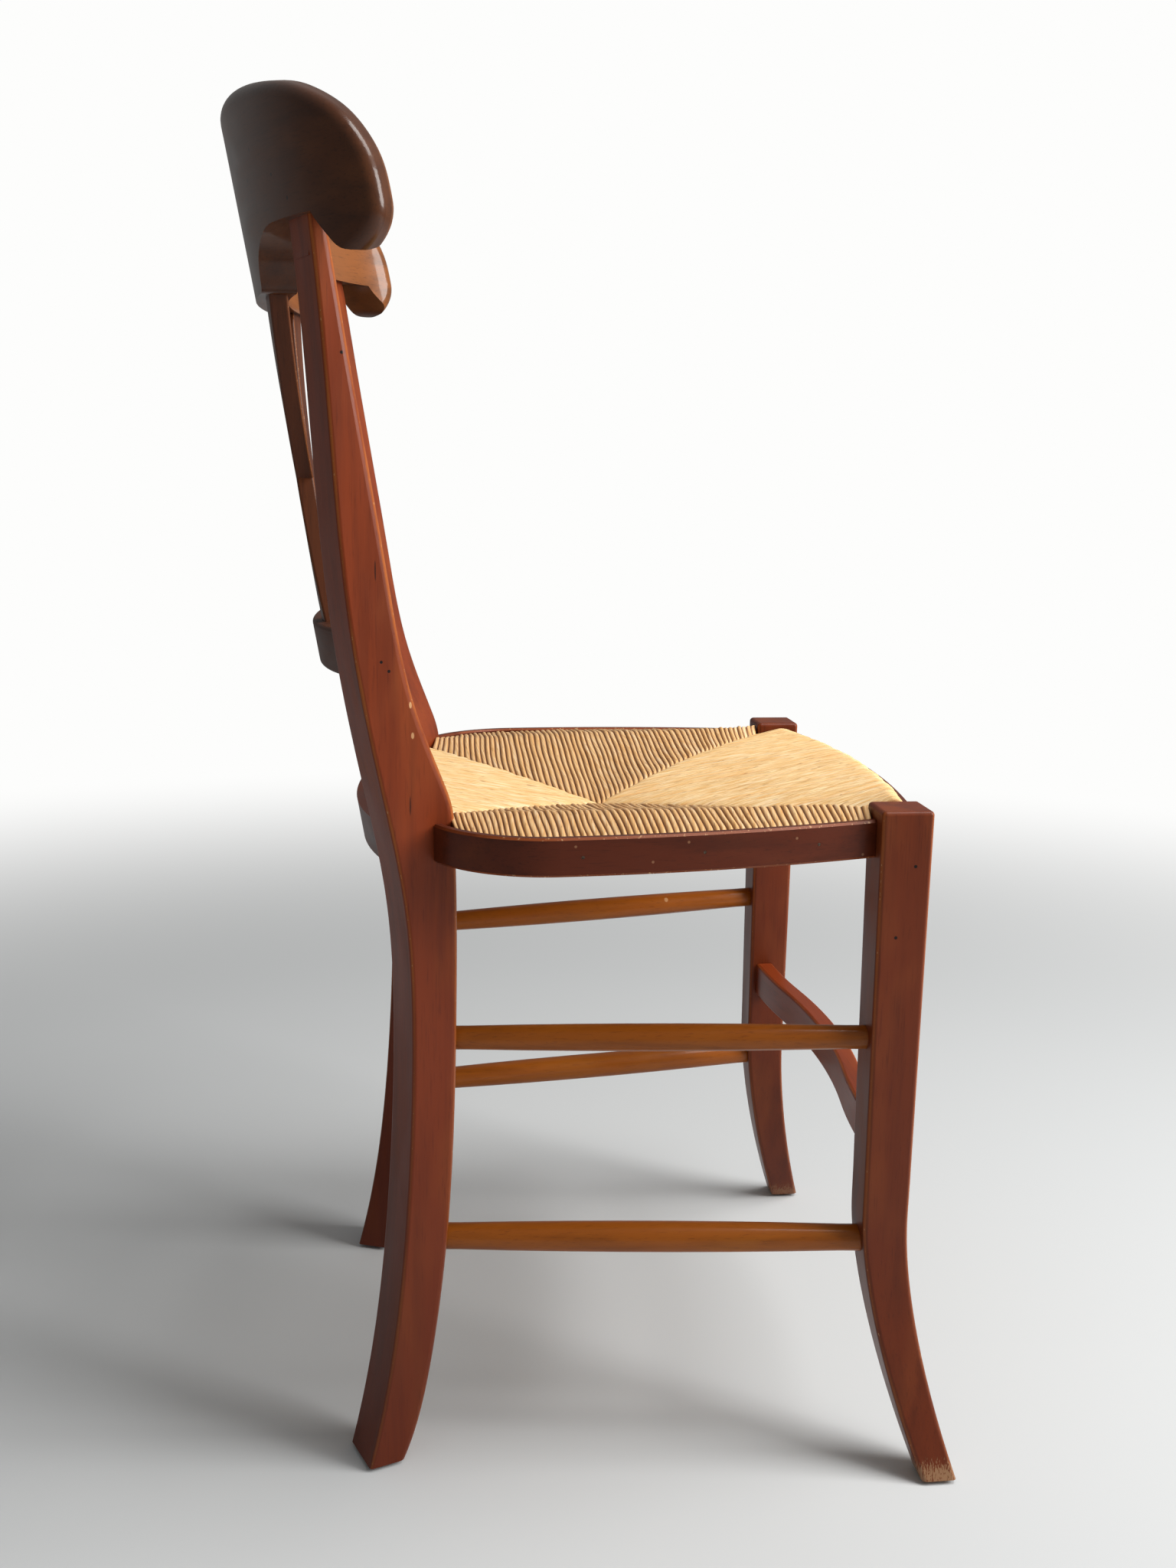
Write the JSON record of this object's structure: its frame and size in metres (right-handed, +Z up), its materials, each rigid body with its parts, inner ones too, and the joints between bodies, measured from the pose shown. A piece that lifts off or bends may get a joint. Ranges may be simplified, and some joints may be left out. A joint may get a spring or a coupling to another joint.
{
  "type": "wooden chair",
  "caption": "Wooden side chair with a curved lobed crest rail, crossed back slats, sabre legs, turned side stretchers and a woven rush seat.",
  "frame": {"origin": "middle of the chair's box at floor level, under the seat", "axes": "+Z up, the sitter faces -Y, +X is the sitter's left"},
  "size_m": [0.4646, 0.4848, 0.8998],
  "materials": {
    "stained_wood": "red-brown stain under satin varnish",
    "dark_wood": "dark brown stain under glossy varnish",
    "turned_wood": "honey-brown satin varnish",
    "rail_wood": "bare planed wood",
    "rush": "twisted rush cord, dry and slightly glossy",
    "nail_steel": "dull oxidised steel",
    "glide_plastic": "off-white moulded plastic"
  },
  "bodies": {
    "root": {"rear_post_left": "stained_wood", "rear_post_right": "stained_wood", "front_leg_left": "stained_wood", "front_leg_right": "stained_wood", "seat_strip_front": "stained_wood", "seat_strip_rear": "stained_wood", "seat_strip_left": "stained_wood", "seat_strip_right": "stained_wood", "front_stretcher": "stained_wood", "crest_rail": "dark_wood", "cross_slat_left": "dark_wood", "cross_slat_right": "dark_wood", "lower_back_rail": "dark_wood", "upper_stretcher_left": "turned_wood", "upper_stretcher_right": "turned_wood", "lower_stretcher_left": "turned_wood", "lower_stretcher_right": "turned_wood", "rear_stretcher": "turned_wood", "seat_rail_front": "rail_wood", "seat_rail_rear": "rail_wood", "seat_rail_left": "rail_wood", "seat_rail_right": "rail_wood", "rush_seat": "rush", "strip_nails": "nail_steel", "foot_glides": "glide_plastic"}
  },
  "joints": []
}
